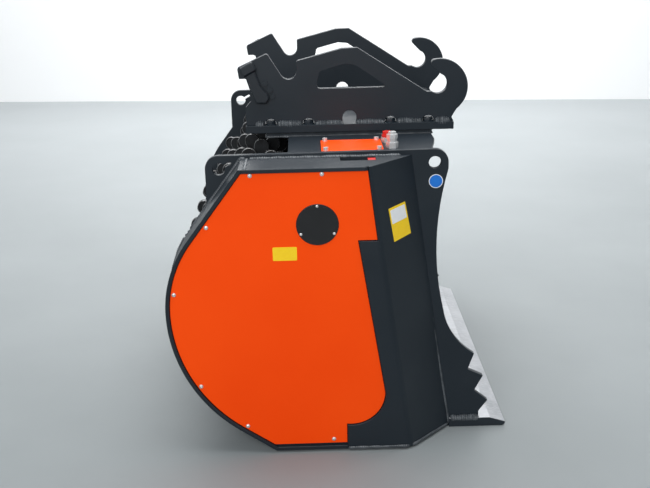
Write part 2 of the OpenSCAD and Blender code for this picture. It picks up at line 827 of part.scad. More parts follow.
// Line of the chain that each rotor has in the inner plane and in the outer plane
inner_lines = [line_a(rotor_1, rotor_2), line_a(rotor_1, rotor_2), line_a(rotor_3, rotor_4),
    line_a(rotor_3, rotor_4)];
outer_lines = [line_a(rotor_1, motor_at), line_a(rotor_2, rotor_3), line_a(rotor_2, rotor_3),
    line_a(rotor_4, rotor_5), line_a(rotor_4, rotor_5)];
module one_sprocket(at, bore_r, plane, a) {
    slab(near_y - plane - sprocket_w / 2, near_y - plane + sprocket_w / 2)
        translate(at) sprocket_area(bore_r, a);
}
module sprockets(i) {
    at = rotors[i];
    one_sprocket(at, shaft_r, outer_plane, outer_lines[i]);
    if (i < len(inner_lines)) one_sprocket(at, shaft_r, inner_plane, inner_lines[i]);
    slab(near_y - outer_plane + sprocket_w / 2, near_y - bearing_t - bearing_seal_h - shaft_end_gap)
        translate(at) difference() {
            circle(sprocket_hub_r);
            circle(shaft_r);
        }
}
module motor_shaft() {
    color("#b9bcc0") bar(motor_at, motor_shaft_r, near_y - drive_shaft_end, near_in + motor_shaft_in);
}
module motor_sprocket() {
    color("#6d7075") {
        one_sprocket(motor_at, motor_shaft_r, outer_plane, outer_lines[0]);
        slab(near_y - outer_plane + sprocket_w / 2, near_y - shaft_end_gap) translate(motor_at) difference() {
            circle(sprocket_hub_r);
            circle(motor_shaft_r);
        }
    }
}

// Roller chain round two sprockets of equal size, links rollers apart
link_gap = 0.2;
link_side_gap = 0.8;
teeth_gap = 0.5;
teeth_sweep = sprocket_ring + tooth_h + teeth_gap;
inner_link_y = sprocket_w / 2 + link_side_gap;
outer_link_y = inner_link_y + link_t + link_gap;
link_end_y = outer_link_y + link_t + link_gap;
link_waist_share = 0.7;
module link_area(r) {
    circle(r);
    translate([chain_pitch, 0]) circle(r);
    translate([0, -r * link_waist_share]) square([chain_pitch, 2 * r * link_waist_share]);
}
function chain_points(p, q, links) =
    let (a = line_a(p, q), n = sprocket_teeth)
    concat(
        [for (k = [0 : n / 2 - 1]) p + sprocket_ring * along(a + 90 + k * 360 / n)],
        [for (k = [0 : links - 1]) p + sprocket_ring * along(a + 270) + k * chain_pitch * along(a)],
        [for (k = [0 : n / 2 - 1]) q + sprocket_ring * along(a + 270 + k * 360 / n)],
        [for (k = [0 : links - 1]) q + sprocket_ring * along(a + 90) - k * chain_pitch * along(a)]);
module chain(p, q, links, plane) {
    points = chain_points(p, q, links);
    n = len(points);
    middle = near_y - plane;
    for (k = [0 : n - 1]) {
        from = points[k];
        to = points[(k + 1) % n];
        y = k % 2 == 0 ? inner_link_y : outer_link_y;
        // Within the circle that the turning teeth sweep, only the ends of the pins are drawn
        if (min(norm(from - p), norm(from - q)) - roller_r > teeth_sweep)
            bar(from, roller_r, middle - link_end_y, middle + link_end_y);
        else {
            bar(from, roller_r, middle - link_end_y, middle - inner_link_y);
            bar(from, roller_r, middle + inner_link_y, middle + link_end_y);
        }
        for (y0 = [middle + y, middle - y - link_t]) slab(y0, y0 + link_t)
            translate(from) rotate(line_a(from, to)) link_area(link_r);
    }
}

// Motor inside the beam, on the inner face of the drive side plate
motor_shaft_in = 10;
motor_bore_gap = 1;
motor_neck_r = 30;
pipe_r = 9;
port_side = 36;
pressure_port_x = 126;
pressure_port_in = 72;
return_port_x = 117;
return_port_in = 155;
ports = [[hitch_x + pressure_port_x, near_in + pressure_port_in],
    [hitch_x + return_port_x, near_in + return_port_in]];
module hydraulic_motor() {
    color("#3b3e42") difference() {
        union() {
            bar(motor_at, motor_spigot_r, near_y, near_in);
            bar(motor_at, motor_flange_r, near_in, near_in + motor_flange_t);
            bar(motor_at, motor_r, near_in, near_in + motor_flange_t + motor_len);
        }
        bar(motor_at, motor_shaft_r + run_gap, near_y - overrun, near_in + motor_shaft_in + motor_bore_gap);
        for (c = motor_bolt_places) bar(c, bearing_bolt_r + bolt_gap, near_y - overrun,
            near_in + motor_flange_t + overrun);
    }
}
module motor_bolts_node() {
    color("#a7aaad") for (c = motor_bolt_places) face_near(c, near_y)
        hex_bolt(bearing_bolt_r, bearing_bolt_af, bearing_bolt_head, side_t + motor_flange_t);
}
module hydraulic_lines() {
    color("#55585c") for (p = ports) {
        translate([p.x, p.y, motor_at.y]) cylinder(r = pipe_r, h = deck_z - motor_at.y);
        translate([p.x, p.y, motor_at.y]) sphere(pipe_r);
        translate([motor_at.x + motor_r, p.y, motor_at.y]) rotate([0, 90, 0])
            cylinder(r = pipe_r, h = p.x - motor_at.x - motor_r);
    }
}
// Radius and height of each step of the fitting, as shares of the side of its largest nut
port_step_shares = [[0.56, 0.5], [0.44, 0.33], [0.5, 0.39], [0.36, 0.22]];
port_steps = [for (s = port_step_shares) s * port_side];
module port_stack(i) {
    if (i < len(port_steps)) {
        hex_head(port_steps[i].x * 2 * sin(60), port_steps[i].y);
        translate([0, 0, port_steps[i].y]) port_stack(i + 1);
    }
}
module port_adapters() {
    color("#b9bcc0") {
        translate([ports[0].x, ports[0].y, deck_z]) port_stack(0);
        translate([ports[1].x, ports[1].y, deck_z]) hex_head(port_side, port_side / 2);
    }
}
cap_r = 15;
cap_rim = 3;
module red_cap() {
    color("#c9281e") translate([ports[1].x, ports[1].y, deck_z + port_side / 2]) {
        cylinder(r = cap_r, h = port_side / 2);
        cylinder(r = cap_r + cap_rim, h = port_side / 6);
    }
}

// Cover over the motor on the deck
motor_cover_len_back = 103;
motor_cover_len_front = 95;
motor_cover_side = 22;
motor_cover_w = 168;
motor_cover_x = [hitch_x - motor_cover_len_back, hitch_x + motor_cover_len_front];
motor_cover_in = [motor_cover_side, motor_cover_side + motor_cover_w];
motor_head_share = 0.8;
motor_cover_t = 8;
motor_screw_r = 5;
motor_screw_edge = 14;
motor_cover_screws_at = [for (x = [motor_cover_x[0] + motor_screw_edge, motor_cover_x[1] - motor_screw_edge],
    y = [near_y + motor_cover_in[0] + motor_screw_edge, near_y + motor_cover_in[1] - motor_screw_edge]) [x, y]];
module motor_cover() {
    color("#f2560e") plate(deck_z, deck_z + motor_cover_t) difference() {
        translate([motor_cover_x[0], near_y + motor_cover_in[0]])
            square([motor_cover_x[1] - motor_cover_x[0], motor_cover_in[1] - motor_cover_in[0]]);
        for (c = motor_cover_screws_at) translate(c) circle(motor_screw_r + bolt_gap);
    }
}
module motor_cover_screws() {
    color("#9a9da1") for (c = motor_cover_screws_at) translate([c.x, c.y, deck_z + motor_cover_t]) {
        cylinder(r = 2 * motor_screw_r * motor_head_share, h = motor_screw_r * 2);
        translate([0, 0, -motor_cover_t]) cylinder(r = motor_screw_r, h = motor_cover_t);
    }
}

// Hitch: its places are measured from the middle of its base
hitch_z = deck_z + mount_t + base_t;
base_half = base_len / 2;
base_w = hitch_w + 2 * base_side;
hitch_half = base_half;
// Outline of a hitch plate behind and ahead of its notch, as shares of half its length, of its
// height and of its corner radius
hitch_corner_r = 8;
rear_shares = [
    [-0.996, 0, 0], [-0.996, 0.24, 1], [-0.945, 0.32, 1], [-0.945, 0.594, 1], [-0.987, 0.626, 0.5],
    [-1.047, 0.626, 0.5], [-1.061, 0.768, 1], [-0.776, 0.949, 1]];
front_shares = [
    [-0.065, 0.996, 2], [0.082, 1, 1], [0.745, 0.398, 0], [0.83, 0.4, 0], [0.846, 0.504, 0],
    [0.894, 0.604, 0]];
foot_shares = [[0.982, 0.047, 1], [1.004, 0, 0]];
notch_lip_share = 0.843;
notch_at = [-0.578 * hitch_half, 0.713 * hitch_h];
hook_at = [0.846 * hitch_half, 0.504 * hitch_h];
hook_out_at = [0.869 * hitch_half, 0.457 * hitch_h];
hook_out_r = 95;
hook_tip_r = 12;
hook_tip_a = 102;
hook_low_a = -52;
hook_tip_at = hook_out_at + (hook_out_r - hook_tip_r) * along(hook_tip_a);
function rim(c, r, a0, a1, steps) =
    [for (k = [0 : steps]) let (p = c + r * along(a0 + (a1 - a0) * k / steps)) [p.x, p.y, 0]];
window_shares = [[-0.316, 0.472, 1], [-0.282, 0.705, 1], [-0.04, 0.791, 1], [0.062, 0.776, 1],
    [0.333, 0.516, 0.4], [0.344, 0.472, 0.4]];
window_corner_r = 12;
arch_r = 24;
arch_h = 44;
bolt_notch_r = 21;
hitch_bolt_outer = 269;
hitch_bolt_inner = 140;
hitch_bolts_x = [-hitch_bolt_outer, -hitch_bolt_inner, hitch_bolt_inner, hitch_bolt_outer];
function hitch_rows(shares, r) = [for (s = shares) [s.x * hitch_half, s.y * hitch_h, s.z * r]];
module hitch_area() {
    rear = hitch_rows(rear_shares, hitch_corner_r);
    front = hitch_rows(front_shares, hitch_corner_r);
    peak = rear[len(rear) - 1];
    slant = touch([peak.x, peak.y], notch_at, notch_r);
    lip_x = notch_at.x + notch_r;
    notch = [[slant.x, slant.y, 0], [notch_at.x, notch_at.y, 0], [lip_x, notch_at.y, 0],
        [lip_x, notch_lip_share * hitch_h, hitch_corner_r]];
    under = [front[len(front) - 1].x, front[len(front) - 1].y];
    under_a = 360 + line_a(hook_tip_at, under) - acos(hook_tip_r / norm(under - hook_tip_at));
    tip = rim(hook_tip_at, hook_tip_r, under_a, hook_tip_a, 2 * corner_steps);
    back = rim(hook_out_at, hook_out_r, hook_tip_a, hook_low_a, 2 * arc_steps);
    foot = hitch_rows(foot_shares, hitch_corner_r);
    difference() {
        polygon(rounded(concat(rear, notch, front, tip, [for (k = [1 : len(back) - 1]) back[k]], foot)));
        translate(notch_at) circle(notch_r);
        translate(hook_at) circle(hook_r);
        polygon(rounded(hitch_rows(window_shares, window_corner_r)));
        translate([0, arch_h - arch_r]) circle(arch_r);
        translate([-arch_r, -overrun]) square([2 * arch_r, arch_h - arch_r + overrun]);
        for (x = hitch_bolts_x) translate([x, 0]) circle(bolt_notch_r);
    }
}
module hitch_plate(y0) {
    slab(y0, y0 + hitch_t) translate([hitch_x, hitch_z]) hitch_area();
}
module hitch_plate_drive() {
    color("#2f3032") hitch_plate(mid_y - hitch_w / 2);
}
module hitch_plate_free() {
    color("#2f3032") hitch_plate(mid_y + hitch_w / 2 - hitch_t);
}

// Plate on the deck and the base frame on it
mount_len_back = 285;
mount_len_front = 281;
mount_back = hitch_x - mount_len_back;
mount_front = hitch_x + mount_len_front;
mount_side = 10;
mount_w = base_w - 2 * mount_side;
base_window_len = 420;
base_window_w = 400;
base_window = [base_window_len, base_window_w];
hitch_bolt_r = 10;
hitch_bolt_af = 30;
hitch_bolt_head = 13;
hitch_bolt_y = hitch_w / 2 - hitch_t / 2;
hitch_bolts_at = [for (x = hitch_bolts_x, s = [-1, 1]) [hitch_x + x, mid_y + s * hitch_bolt_y]];
module bolt_holes(places, r) {
    for (c = places) translate(c) circle(r);
}
module mounting_plate() {
    color("#2f3032") plate(deck_z, deck_z + mount_t) difference() {
        translate([mount_back, mid_y - mount_w / 2]) square([mount_front - mount_back, mount_w]);
        bolt_holes(hitch_bolts_at, hitch_bolt_r + bolt_gap);
    }
}
module hitch_base() {
    color("#2f3032") plate(deck_z + mount_t, hitch_z) difference() {
        translate([hitch_x - base_half, mid_y - base_w / 2]) square([base_len, base_w]);
        translate([hitch_x - base_window.x / 2, mid_y - base_window.y / 2]) square(base_window);
        bolt_holes(hitch_bolts_at, hitch_bolt_r + bolt_gap);
    }
}
module hitch_bolts() {
    length = base_t + mount_t;
    color("#3a3b3d") for (c = hitch_bolts_at) translate([c.x, c.y, hitch_z])
        hex_bolt(hitch_bolt_r, hitch_bolt_af, hitch_bolt_head, length);
}

// Wedge blocks on the outer faces of the hitch plates, at their rear noses
block_proud = 28;
head_len = 47;
head_w = 31;
head_a = 28;
head_at = [-0.958 * hitch_half, 0.762 * hitch_h];
arm_shares = [[-0.99, 0.69], [-0.9, 0.76], [-0.843, 0.528], [-0.778, 0.425], [-0.765, 0.366],
    [-0.795, 0.303], [-0.891, 0.307], [-0.951, 0.508]];
arm_proud_share = 0.7;
block_bolt_shares = [[-0.755, 0.47], [-0.735, 0.385], [-0.8, 0.56]];
block_bolt_r = 5;
block_bolt_af = 16;
block_bolt_head = 7;
module wedge_block(out) {
    near = mid_y + out * hitch_w / 2;
    translate([hitch_x, near, hitch_z]) {
        arm = block_proud * arm_proud_share;
        slab(min(0, out * arm), max(0, out * arm))
            polygon([for (s = arm_shares) [s.x * hitch_half, s.y * hitch_h]]);
        slab(min(0, out * block_proud), max(0, out * block_proud))
            translate(head_at) rotate(head_a) square([head_len, head_w], center = true);
    }
}
module wedge_block_drive() {
    color("#2f3032") wedge_block(-1);
}
module wedge_block_free() {
    color("#2f3032") wedge_block(1);
}
module wedge_block_bolts() {
    color("#3a3b3d") for (s = block_bolt_shares) {
        at = [hitch_x + s.x * hitch_half, hitch_z + s.y * hitch_h];
        face_near(at, mid_y - hitch_w / 2) hex_head(block_bolt_af, block_bolt_head);
        face_far(at, mid_y + hitch_w / 2) hex_head(block_bolt_af, block_bolt_head);
    }
}

side_plate_drive();
side_plate_free();
floor_shell();
rear_bar();
cutting_edge();
top_deck();
beam_channel();
mounting_plate();
hitch_base();
hitch_plate_drive();
hitch_plate_free();
wedge_block_drive();
wedge_block_free();
wedge_block_bolts();
hitch_bolts();
case_wall();
case_top();
case_bottom();
case_front();
cover_frame();
side_cover();
cover_screws();
badge_plate();
badge_screws();
slot_tongue();
motor_cover();
motor_cover_screws();
hydraulic_motor();
motor_bolts_node();  // motor_bolts
hydraulic_lines();
port_adapters();
red_cap();
bearings_drive();
bearings_free();
bearing_bolts_drive();
bearing_bolts_free();
guard_wall();
guard_cover();
guard_screws();
color("#7b7e82") chain(rotor_1, motor_at, motor_links, outer_plane);  // chain_motor
color("#7b7e82") chain(rotor_1, rotor_2, rotor_links, inner_plane);  // chain_12
color("#7b7e82") chain(rotor_2, rotor_3, rotor_links, outer_plane);  // chain_23
color("#7b7e82") chain(rotor_3, rotor_4, rotor_links, inner_plane);  // chain_34
color("#7b7e82") chain(rotor_4, rotor_5, rotor_links, outer_plane);  // chain_45
color("#6a6c6f") rotor(0);  // rotor_1
color("#6a6c6f") rotor(1);  // rotor_2
color("#6a6c6f") rotor(2);  // rotor_3
color("#6a6c6f") rotor(3);  // rotor_4
color("#6a6c6f") rotor(4);  // rotor_5
color("#6d7075") sprockets(0);  // sprockets_1
color("#6d7075") sprockets(1);  // sprockets_2
color("#6d7075") sprockets(2);  // sprockets_3
color("#6d7075") sprockets(3);  // sprockets_4
color("#6d7075") sprockets(4);  // sprockets_5
motor_shaft();
motor_sprocket();
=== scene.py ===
import json
import math
import bmesh
import bpy
import numpy as np
from mathutils import Matrix, Vector


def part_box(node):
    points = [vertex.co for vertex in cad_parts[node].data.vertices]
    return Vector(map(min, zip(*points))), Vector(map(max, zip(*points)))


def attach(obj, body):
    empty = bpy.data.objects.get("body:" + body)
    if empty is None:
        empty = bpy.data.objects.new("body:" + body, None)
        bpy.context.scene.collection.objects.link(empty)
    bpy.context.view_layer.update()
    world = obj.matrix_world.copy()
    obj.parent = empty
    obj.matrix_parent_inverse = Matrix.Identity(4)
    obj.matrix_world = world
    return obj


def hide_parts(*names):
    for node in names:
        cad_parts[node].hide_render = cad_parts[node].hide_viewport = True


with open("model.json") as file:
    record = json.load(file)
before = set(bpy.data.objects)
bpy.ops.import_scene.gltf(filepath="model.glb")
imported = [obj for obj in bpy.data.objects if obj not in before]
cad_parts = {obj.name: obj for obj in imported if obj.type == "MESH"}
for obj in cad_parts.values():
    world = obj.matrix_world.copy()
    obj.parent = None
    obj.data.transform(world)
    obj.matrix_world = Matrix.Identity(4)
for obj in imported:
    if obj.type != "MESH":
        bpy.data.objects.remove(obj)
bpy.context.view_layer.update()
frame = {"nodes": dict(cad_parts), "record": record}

nodes = frame["nodes"]
root = "bucket"
samePlace = 1e-6  # points closer than this are one point


def lowHigh(node):  # corners of a CAD node as two arrays
    low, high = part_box(node)
    return np.array(low), np.array(high)


# Places that come from the frame
drivePlate = lowHigh("side_plate_drive")
freePlate = lowHigh("side_plate_free")
caseTop = lowHigh("case_top")
caseWall = lowHigh("case_wall")
caseFront = lowHigh("case_front")
coverBox = lowHigh("side_cover")
lipBox = lowHigh("cutting_edge")
deckBox = lowHigh("top_deck")
mountBox = lowHigh("mounting_plate")
baseBox = lowHigh("hitch_base")
hitchNear = lowHigh("hitch_plate_drive")
hitchFar = lowHigh("hitch_plate_free")
nearY = drivePlate[0][1]      # outer face of the drive side plate
farY = freePlate[1][1]        # outer face of the free side plate
outerY = caseWall[0][1]       # outer rim of the drive case
coverFace = coverBox[0][1]    # outer face of the orange cover
topZ = caseTop[1][2]
frontX = caseTop[1][0]


# Camera: place and directions found from the photograph's vanishing points
camera = {
    "place": (-0.101, -3.655, 1.669),
    "right": (0.99950873, -0.02376214, -0.02043686),
    "down": (-0.02679935, -0.30985835, -0.95040496),
    "ahead": (0.01625113, 0.95048575, -0.31034294),
    "focal": 55.38,
    "sensor": 36.0,
    "reach": 100,
}


def addCamera(p):
    data = bpy.data.cameras.new("photoCamera")
    data.lens = p["focal"]
    data.sensor_width = p["sensor"]
    data.sensor_fit = "HORIZONTAL"
    data.clip_end = p["reach"]
    obj = bpy.data.objects.new("photoCamera", data)
    up = tuple(-v for v in p["down"])
    back = tuple(-v for v in p["ahead"])
    axes = Matrix((p["right"], up, back)).transposed()
    obj.matrix_world = Matrix.Translation(p["place"]) @ axes.to_4x4()
    bpy.context.scene.collection.objects.link(obj)
    bpy.context.scene.camera = obj


addCamera(camera)
print("camera set")


# Materials: every pattern is in metres on Object coordinates
whole = (0.0, 1.0)
noiseBand = (0.3, 0.7)     # where most values of a noise lie
tightBand = (0.35, 0.65)   # the same, with more contrast
upwardBand = (0.3, 0.95)   # from an upright face's normal to that of a flat one
detail = {"smooth": 2.0, "soft": 3.0, "clouds": 4.0, "rich": 5.0, "soil": 6.0}  # octaves of a noise


def startMaterial(name):
    mat = bpy.data.materials.new(name)
    mat.use_nodes = True
    tree = mat.node_tree
    tree.nodes.clear()
    out = tree.nodes.new("ShaderNodeOutputMaterial")
    shader = tree.nodes.new("ShaderNodeBsdfPrincipled")
    tree.links.new(shader.outputs[0], out.inputs[0])
    coords = tree.nodes.new("ShaderNodeTexCoord")
    return mat, tree, shader, coords.outputs["Object"]


def addNoise(tree, vector, scale, octaves, rough=0.5):
    node = tree.nodes.new("ShaderNodeTexNoise")
    node.inputs["Scale"].default_value = scale
    node.inputs["Detail"].default_value = octaves
    node.inputs["Roughness"].default_value = rough
    tree.links.new(vector, node.inputs["Vector"])
    return node.outputs["Fac"]


def addStretch(tree, vector, scale):
    node = tree.nodes.new("ShaderNodeMapping")
    node.inputs["Scale"].default_value = scale
    tree.links.new(vector, node.inputs["Vector"])
    return node.outputs["Vector"]


def addRange(tree, value, band, result):  # stretches the band of a value over the result
    node = tree.nodes.new("ShaderNodeMapRange")
    for key, number in zip(("From Min", "From Max", "To Min", "To Max"), (*band, *result)):
        node.inputs[key].default_value = number
    tree.links.new(value, node.inputs["Value"])
    return node.outputs["Result"]


def addMix(tree, factor, first, second):  # a mix of colours takes sockets 6 and 7 and gives output 2
    node = tree.nodes.new("ShaderNodeMix")
    node.data_type = "RGBA"
    tree.links.new(factor, node.inputs["Factor"])
    for socket, value in ((node.inputs[6], first), (node.inputs[7], second)):
        if isinstance(value, tuple):
            socket.default_value = (*value, 1.0)
        else:
            tree.links.new(value, socket)
    return node.outputs[2]


def addMath(tree, kind, first, second):
    node = tree.nodes.new("ShaderNodeMath")
    node.operation = kind
    for socket, value in zip(node.inputs, (first, second)):
        if isinstance(value, (int, float)):
            socket.default_value = value
        else:
            tree.links.new(value, socket)
    return node.outputs[0]


def addBump(tree, shader, height, strength, distance, normal=None):
    node = tree.nodes.new("ShaderNodeBump")
    node.inputs["Strength"].default_value = strength
    node.inputs["Distance"].default_value = distance
    tree.links.new(height, node.inputs["Height"])
    if normal is not None:
        tree.links.new(normal, node.inputs["Normal"])
    tree.links.new(node.outputs[0], shader.inputs["Normal"])
    return node.outputs[0]


def addUpward(tree):  # 1 on faces that look up, 0 on upright ones
    geometry = tree.nodes.new("ShaderNodeNewGeometry")
    split = tree.nodes.new("ShaderNodeSeparateXYZ")
    tree.links.new(geometry.outputs["Normal"], split.inputs[0])
    return addRange(tree, split.outputs["Z"], upwardBand, whole)


paintPattern = {"speckBand": (0.62, 0.75), "settleScale": 9.0, "peelRise": 0.0006,
                "waveScale": 14.0, "wave": 0.12, "waveRise": 0.0012}


def paintMaterial(p):
    # colour mottled by a wide noise, specks, dust on upward faces, roughness clouds, orange peel over waves
    mat, tree, shader, vector = startMaterial(p["name"])
    wide = addRange(tree, addNoise(tree, vector, p["mottleScale"], detail["clouds"]), tightBand, whole)
    colour = addMix(tree, wide, p["colour"], p["mottle"])
    specks = addNoise(tree, vector, p["speckScale"], detail["smooth"])
    specks = addRange(tree, specks, paintPattern["speckBand"], (0.0, p["speckAmount"]))
    colour = addMix(tree, specks, colour, p["dust"])
    settled = addNoise(tree, vector, paintPattern["settleScale"], detail["rich"])
    settled = addMath(tree, "MULTIPLY", addUpward(tree), settled)
    colour = addMix(tree, addMath(tree, "MULTIPLY", settled, p["dustAmount"]), colour, p["dust"])
    tree.links.new(colour, shader.inputs["Base Color"])
    cloud = addNoise(tree, vector, p["cloudScale"], detail["clouds"])
    tree.links.new(addRange(tree, cloud, noiseBand, p["rough"]), shader.inputs["Roughness"])
    shader.inputs["Specular IOR Level"].default_value = p["specular"]
    peel = addNoise(tree, vector, p["peelScale"], detail["smooth"])
    rise = addBump(tree, shader, peel, p["peel"], paintPattern["peelRise"])
    waves = addNoise(tree, vector, paintPattern["waveScale"], detail["smooth"])
    addBump(tree, shader, waves, paintPattern["wave"], paintPattern["waveRise"], rise)
    return mat


steelPattern = {"stainBand": (0.42, 0.62), "stainRough": 0.6, "stainDull": 0.18, "grainRise": 0.0004}


def steelMaterial(p):
    # metal with a brushed grain; oil or soil stains darken it and make it duller
    mat, tree, shader, vector = startMaterial(p["name"])
    grain = addNoise(tree, addStretch(tree, vector, p["grain"]), p["grainScale"], detail["clouds"])
    stain = addNoise(tree, vector, p["stainScale"], detail["soil"], steelPattern["stainRough"])
    stain = addRange(tree, stain, steelPattern["stainBand"], whole)
    tree.links.new(addMix(tree, stain, p["colour"], p["stain"]), shader.inputs["Base Color"])
    shader.inputs["Metallic"].default_value = p["metallic"]
    rough = addMath(tree, "ADD", addRange(tree, grain, noiseBand, p["rough"]),
                    addMath(tree, "MULTIPLY", stain, steelPattern["stainDull"]))
    tree.links.new(rough, shader.inputs["Roughness"])
    addBump(tree, shader, grain, p["bump"], steelPattern["grainRise"])
    return mat


def wearAndSheenTopMaterial(p):
    # paint on upright faces; faces that look up get a pale grey that is partly scoured bare steel and partly
    # a painted reflection of the pale wall on the black paint, with scratches along X
    mat, tree, shader, vector = startMaterial(p["name"])
    up = addUpward(tree)
    scratch = addStretch(tree, vector, p["stretch"])
    scratch = addNoise(tree, scratch, p["scratchScale"], detail["rich"], p["scratchRough"])
    cloud = addRange(tree, addNoise(tree, vector, p["cloudScale"], detail["rich"]), tightBand, whole)
    steel = addMix(tree, cloud, p["steel"], p["steelDark"])
    marks = addRange(tree, scratch, p["scratchBand"], (0.0, p["scratchAmount"]))
    steel = addMix(tree, marks, steel, p["scratch"])
    # painted reflection: the pale grey on faces that look up also stands in for the wall's glancing
    # reflection
    tree.links.new(addMix(tree, up, p["paint"], steel), shader.inputs["Base Color"])
    tree.links.new(addMath(tree, "MULTIPLY", up, p["metallic"]), shader.inputs["Metallic"])
    tree.links.new(addRange(tree, scratch, noiseBand, p["rough"]), shader.inputs["Roughness"])
    addBump(tree, shader, scratch, p["bump"], p["rise"])
    return mat


def plainMaterial(p):
    # moulded or printed surface: faint colour drift and a fine grain
    mat, tree, shader, vector = startMaterial(p["name"])
    drift = addRange(tree, addNoise(tree, vector, p["driftScale"], detail["soft"]), noiseBand, whole)
    tree.links.new(addMix(tree, drift, p["colour"], p["drift"]), shader.inputs["Base Color"])
    fine = addNoise(tree, vector, p["grainScale"], detail["smooth"])
    tree.links.new(addRange(tree, fine, noiseBand, p["rough"]), shader.inputs["Roughness"])
    shader.inputs["Specular IOR Level"].default_value = p["specular"]
    addBump(tree, shader, fine, p["bump"], p["rise"])
    return mat


blackPaint = {"name": "anthracitePaint", "colour": (0.0072, 0.0125, 0.0185), "mottle": (0.010, 0.016, 0.0225),
              "mottleScale": 3.5, "dust": (0.11, 0.13, 0.15), "dustAmount": 0.10, "speckScale": 420.0,
              "speckAmount": 0.05, "cloudScale": 6.0, "rough": (0.38, 0.52), "specular": 0.36,
              "peelScale": 520.0, "peel": 0.16}
castPaint = dict(blackPaint, name="castPaint", colour=(0.008, 0.0115, 0.0155), peelScale=260.0, peel=0.55,
                 rough=(0.4, 0.6))
# welds: colour paler than the plates with pale mottles, partly a painted glint standing in for light caught
# by the bead ripples
weldPaintAndGlint = dict(blackPaint, name="weldPaintAndGlint", colour=(0.03, 0.036, 0.042), mottle=(0.085, 0.095, 0.105),
                 mottleScale=45.0, rough=(0.26, 0.42), specular=0.6, peelScale=500.0, peel=0.5)
# pale top colours: worn bare steel and a painted reflection of the wall
edgeWearAndSheen = {"name": "edgeWearAndSheen", "paint": (0.009, 0.0145, 0.021), "steel": (0.42, 0.43, 0.45),
            "steelDark": (0.30, 0.31, 0.33), "scratch": (0.55, 0.56, 0.58), "stretch": (0.08, 1.0, 1.0),
            "scratchScale": 160.0, "scratchRough": 0.6, "scratchBand": (0.45, 0.6), "scratchAmount": 0.5,
            "cloudScale": 7.0, "metallic": 0.45, "rough": (0.3, 0.46), "bump": 0.2, "rise": 0.0004}
orangePaint = {"name": "orangePaint", "colour": (0.93, 0.064, 0.001), "mottle": (0.97, 0.074, 0.002),
               "mottleScale": 2.2, "dust": (0.86, 0.09, 0.01), "dustAmount": 0.06, "speckScale": 600.0,
               "speckAmount": 0.03, "cloudScale": 4.0, "rough": (0.4, 0.5), "specular": 0.12,
               "peelScale": 420.0, "peel": 0.1}
rotorSteel = {"name": "rotorSteel", "colour": (0.03, 0.032, 0.035), "stain": (0.014, 0.014, 0.015),
              "stainScale": 22.0, "grain": (1.0, 0.05, 1.0), "grainScale": 300.0, "metallic": 0.75,
              "rough": (0.34, 0.5), "bump": 0.25}
rimSteel = dict(rotorSteel, name="rimSteel", colour=(0.42, 0.42, 0.43), stain=(0.16, 0.155, 0.15),
                metallic=1.0, rough=(0.22, 0.36))
driveSteel = dict(rotorSteel, name="driveSteel", colour=(0.30, 0.30, 0.31), stain=(0.10, 0.085, 0.065),
                  stainScale=60.0, metallic=1.0, rough=(0.25, 0.4))
brightSteel = dict(rotorSteel, name="brightSteel", colour=(0.74, 0.75, 0.76), stain=(0.58, 0.58, 0.57),
                   stainScale=90.0, grain=(1.0, 1.0, 1.0), grainScale=900.0, metallic=0.6, rough=(0.24, 0.36),
                   bump=0.12)
darkIron = dict(rotorSteel, name="darkIron", colour=(0.055, 0.058, 0.062), stain=(0.03, 0.031, 0.033),
                grain=(1.0, 1.0, 1.0), grainScale=420.0, metallic=0.35, rough=(0.45, 0.6), bump=0.5)
badgeBlack = {"name": "badgeBlack", "colour": (0.009, 0.009, 0.010), "drift": (0.013, 0.013, 0.014),
              "driftScale": 18.0, "grainScale": 900.0, "rough": (0.16, 0.24), "specular": 0.5, "bump": 0.04,
              "rise": 0.0003}
redPlastic = dict(badgeBlack, name="redPlastic", colour=(0.62, 0.022, 0.016), drift=(0.5, 0.018, 0.013),
                  driftScale=60.0, grainScale=1200.0, rough=(0.35, 0.5), specular=0.45, bump=0.15)
yellowFilm = dict(redPlastic, name="yellowFilm", colour=(0.95, 0.64, 0.012), drift=(0.92, 0.6, 0.012),
                  rough=(0.25, 0.34), bump=0.05)
whiteFilm = dict(yellowFilm, name="whiteFilm", colour=(0.82, 0.83, 0.84), drift=(0.78, 0.79, 0.8))
blueFilm = dict(yellowFilm, name="blueFilm", colour=(0.012, 0.17, 0.62), drift=(0.012, 0.15, 0.56))

materials = {
    "black_steel": paintMaterial(blackPaint),
    "orange_paint": paintMaterial(orangePaint),
    "edge_steel": wearAndSheenTopMaterial(edgeWearAndSheen),
    "rotor_steel": steelMaterial(rotorSteel),
    "drive_steel": steelMaterial(driveSteel),
    "bright_steel": steelMaterial(brightSteel),
    "dark_iron": steelMaterial(darkIron),
    "badge_black": plainMaterial(badgeBlack),
    "red_plastic": plainMaterial(redPlastic),
}
castMaterial = paintMaterial(castPaint)
weldMaterial = paintMaterial(weldPaintAndGlint)
rimMaterial = steelMaterial(rimSteel)
filmMaterials = {"yellow": plainMaterial(yellowFilm), "white": plainMaterial(whiteFilm),
                 "blue": plainMaterial(blueFilm)}
nodeSlots = {row["node"]: row["material_slot"] for row in frame["record"]["subparts"]}


def paint(obj, mat):
    obj.data.materials.clear()
    obj.data.materials.append(mat)


for nodeName, nodeObject in nodes.items():
    paint(nodeObject, materials[nodeSlots[nodeName]])
print("materials set on", len(nodes), "CAD nodes")


